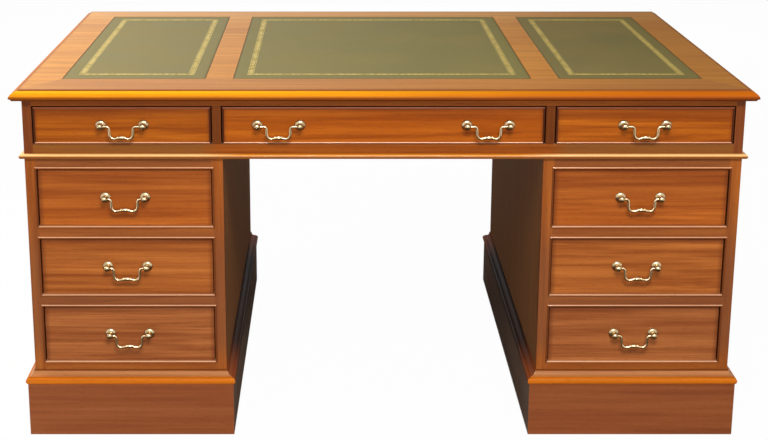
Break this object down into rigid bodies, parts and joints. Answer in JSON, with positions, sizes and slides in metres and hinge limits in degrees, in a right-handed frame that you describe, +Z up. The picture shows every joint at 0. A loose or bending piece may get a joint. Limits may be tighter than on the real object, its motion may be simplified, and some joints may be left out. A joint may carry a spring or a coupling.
{
  "type": "partners desk",
  "caption": "Partners desk with a gilt-tooled leather top, frieze drawers over twin drawer pedestals, rear cupboards and brass swan-neck handles.",
  "frame": {"origin": "on the floor, under the middle of the desk", "axes": "+X to the sitter's right along the width, +Y to the back, +Z up; the nine drawers face -Y"},
  "size_m": [1.54, 1.0805, 0.762],
  "materials": {
    "polished_mahogany": "satin-gloss lacquer",
    "drawer_wood": "waxed",
    "green_leather": "polished, gilt border",
    "antique_brass": "antique polished"
  },
  "bodies": {
    "case": {"top_board": "drawer_wood", "top_edge_moulding": "polished_mahogany", "top_bands": "polished_mahogany", "leather_left": "green_leather", "leather_centre": "green_leather", "leather_right": "green_leather", "frieze_frame": "polished_mahogany", "frieze_inside": "drawer_wood", "frieze_false_fronts": "polished_mahogany", "waist_moulding": "polished_mahogany", "hinge_leaves_and_pins": "antique_brass", "left_pedestal_sides": "polished_mahogany", "left_pedestal_frame": "polished_mahogany", "left_pedestal_inside": "drawer_wood", "left_plinth": "polished_mahogany", "right_pedestal_sides": "polished_mahogany", "right_pedestal_frame": "polished_mahogany", "right_pedestal_inside": "drawer_wood", "right_plinth": "polished_mahogany"},
    "left_frieze_drawer": {"left_frieze_drawer_front": "polished_mahogany", "left_frieze_drawer_box": "drawer_wood", "left_frieze_drawer_posts": "antique_brass"},
    "left_frieze_drawer_bail": {"left_frieze_drawer_bail": "antique_brass"},
    "centre_frieze_drawer": {"centre_frieze_drawer_front": "polished_mahogany", "centre_frieze_drawer_box": "drawer_wood", "centre_frieze_drawer_posts": "antique_brass"},
    "centre_frieze_drawer_left_bail": {"centre_frieze_drawer_left_bail": "antique_brass"},
    "centre_frieze_drawer_right_bail": {"centre_frieze_drawer_right_bail": "antique_brass"},
    "right_frieze_drawer": {"right_frieze_drawer_front": "polished_mahogany", "right_frieze_drawer_box": "drawer_wood", "right_frieze_drawer_posts": "antique_brass"},
    "right_frieze_drawer_bail": {"right_frieze_drawer_bail": "antique_brass"},
    "left_lower_drawer": {"left_lower_drawer_front": "polished_mahogany", "left_lower_drawer_box": "drawer_wood", "left_lower_drawer_posts": "antique_brass"},
    "left_lower_drawer_bail": {"left_lower_drawer_bail": "antique_brass"},
    "left_middle_drawer": {"left_middle_drawer_front": "polished_mahogany", "left_middle_drawer_box": "drawer_wood", "left_middle_drawer_posts": "antique_brass"},
    "left_middle_drawer_bail": {"left_middle_drawer_bail": "antique_brass"},
    "left_upper_drawer": {"left_upper_drawer_front": "polished_mahogany", "left_upper_drawer_box": "drawer_wood", "left_upper_drawer_posts": "antique_brass"},
    "left_upper_drawer_bail": {"left_upper_drawer_bail": "antique_brass"},
    "right_lower_drawer": {"right_lower_drawer_front": "polished_mahogany", "right_lower_drawer_box": "drawer_wood", "right_lower_drawer_posts": "antique_brass"},
    "right_lower_drawer_bail": {"right_lower_drawer_bail": "antique_brass"},
    "right_middle_drawer": {"right_middle_drawer_front": "polished_mahogany", "right_middle_drawer_box": "drawer_wood", "right_middle_drawer_posts": "antique_brass"},
    "right_middle_drawer_bail": {"right_middle_drawer_bail": "antique_brass"},
    "right_upper_drawer": {"right_upper_drawer_front": "polished_mahogany", "right_upper_drawer_box": "drawer_wood", "right_upper_drawer_posts": "antique_brass"},
    "right_upper_drawer_bail": {"right_upper_drawer_bail": "antique_brass"},
    "left_door": {"left_cupboard_door": "polished_mahogany", "left_door_brass": "antique_brass"},
    "right_door": {"right_cupboard_door": "polished_mahogany", "right_door_brass": "antique_brass"}
  },
  "joints": [
    {"name": "left_frieze_drawer_slide", "type": "slide", "parent": "case", "child": "left_frieze_drawer", "axis": [0, -1, 0], "range_m": [0, 0.36]},
    {"name": "left_frieze_drawer_bail_swing", "type": "hinge", "parent": "left_frieze_drawer", "child": "left_frieze_drawer_bail", "pos_m": [-0.5415, -0.5335, 0.6857], "axis": [-1, 0, 0], "range_deg": [-30, 90]},
    {"name": "centre_frieze_drawer_slide", "type": "slide", "parent": "case", "child": "centre_frieze_drawer", "axis": [0, -1, 0], "range_m": [0, 0.36]},
    {"name": "centre_frieze_drawer_left_bail_swing", "type": "hinge", "parent": "centre_frieze_drawer", "child": "centre_frieze_drawer_left_bail", "pos_m": [-0.217, -0.5335, 0.6857], "axis": [-1, 0, 0], "range_deg": [-30, 90]},
    {"name": "centre_frieze_drawer_right_bail_swing", "type": "hinge", "parent": "centre_frieze_drawer", "child": "centre_frieze_drawer_right_bail", "pos_m": [0.217, -0.5335, 0.6857], "axis": [-1, 0, 0], "range_deg": [-30, 90]},
    {"name": "right_frieze_drawer_slide", "type": "slide", "parent": "case", "child": "right_frieze_drawer", "axis": [0, -1, 0], "range_m": [0, 0.36]},
    {"name": "right_frieze_drawer_bail_swing", "type": "hinge", "parent": "right_frieze_drawer", "child": "right_frieze_drawer_bail", "pos_m": [0.5415, -0.5335, 0.6857], "axis": [-1, 0, 0], "range_deg": [-30, 90]},
    {"name": "left_lower_drawer_slide", "type": "slide", "parent": "case", "child": "left_lower_drawer", "axis": [0, -1, 0], "range_m": [0, 0.36]},
    {"name": "left_lower_drawer_bail_swing", "type": "hinge", "parent": "left_lower_drawer", "child": "left_lower_drawer_bail", "pos_m": [-0.5405, -0.5305, 0.22662], "axis": [-1, 0, 0], "range_deg": [-30, 90]},
    {"name": "left_middle_drawer_slide", "type": "slide", "parent": "case", "child": "left_middle_drawer", "axis": [0, -1, 0], "range_m": [0, 0.36]},
    {"name": "left_middle_drawer_bail_swing", "type": "hinge", "parent": "left_middle_drawer", "child": "left_middle_drawer_bail", "pos_m": [-0.5405, -0.5305, 0.37825], "axis": [-1, 0, 0], "range_deg": [-30, 90]},
    {"name": "left_upper_drawer_slide", "type": "slide", "parent": "case", "child": "left_upper_drawer", "axis": [0, -1, 0], "range_m": [0, 0.36]},
    {"name": "left_upper_drawer_bail_swing", "type": "hinge", "parent": "left_upper_drawer", "child": "left_upper_drawer_bail", "pos_m": [-0.5405, -0.5305, 0.52988], "axis": [-1, 0, 0], "range_deg": [-30, 90]},
    {"name": "right_lower_drawer_slide", "type": "slide", "parent": "case", "child": "right_lower_drawer", "axis": [0, -1, 0], "range_m": [0, 0.36]},
    {"name": "right_lower_drawer_bail_swing", "type": "hinge", "parent": "right_lower_drawer", "child": "right_lower_drawer_bail", "pos_m": [0.5405, -0.5305, 0.22662], "axis": [-1, 0, 0], "range_deg": [-30, 90]},
    {"name": "right_middle_drawer_slide", "type": "slide", "parent": "case", "child": "right_middle_drawer", "axis": [0, -1, 0], "range_m": [0, 0.36]},
    {"name": "right_middle_drawer_bail_swing", "type": "hinge", "parent": "right_middle_drawer", "child": "right_middle_drawer_bail", "pos_m": [0.5405, -0.5305, 0.37825], "axis": [-1, 0, 0], "range_deg": [-30, 90]},
    {"name": "right_upper_drawer_slide", "type": "slide", "parent": "case", "child": "right_upper_drawer", "axis": [0, -1, 0], "range_m": [0, 0.36]},
    {"name": "right_upper_drawer_bail_swing", "type": "hinge", "parent": "right_upper_drawer", "child": "right_upper_drawer_bail", "pos_m": [0.5405, -0.5305, 0.52988], "axis": [-1, 0, 0], "range_deg": [-30, 90]},
    {"name": "left_door_hinge", "type": "hinge", "parent": "case", "child": "left_door", "pos_m": [-0.7227, 0.5202, 0.37825], "axis": [0, 0, 1], "range_deg": [0, 110]},
    {"name": "right_door_hinge", "type": "hinge", "parent": "case", "child": "right_door", "pos_m": [0.7227, 0.5202, 0.37825], "axis": [0, 0, -1], "range_deg": [0, 110]}
  ]
}
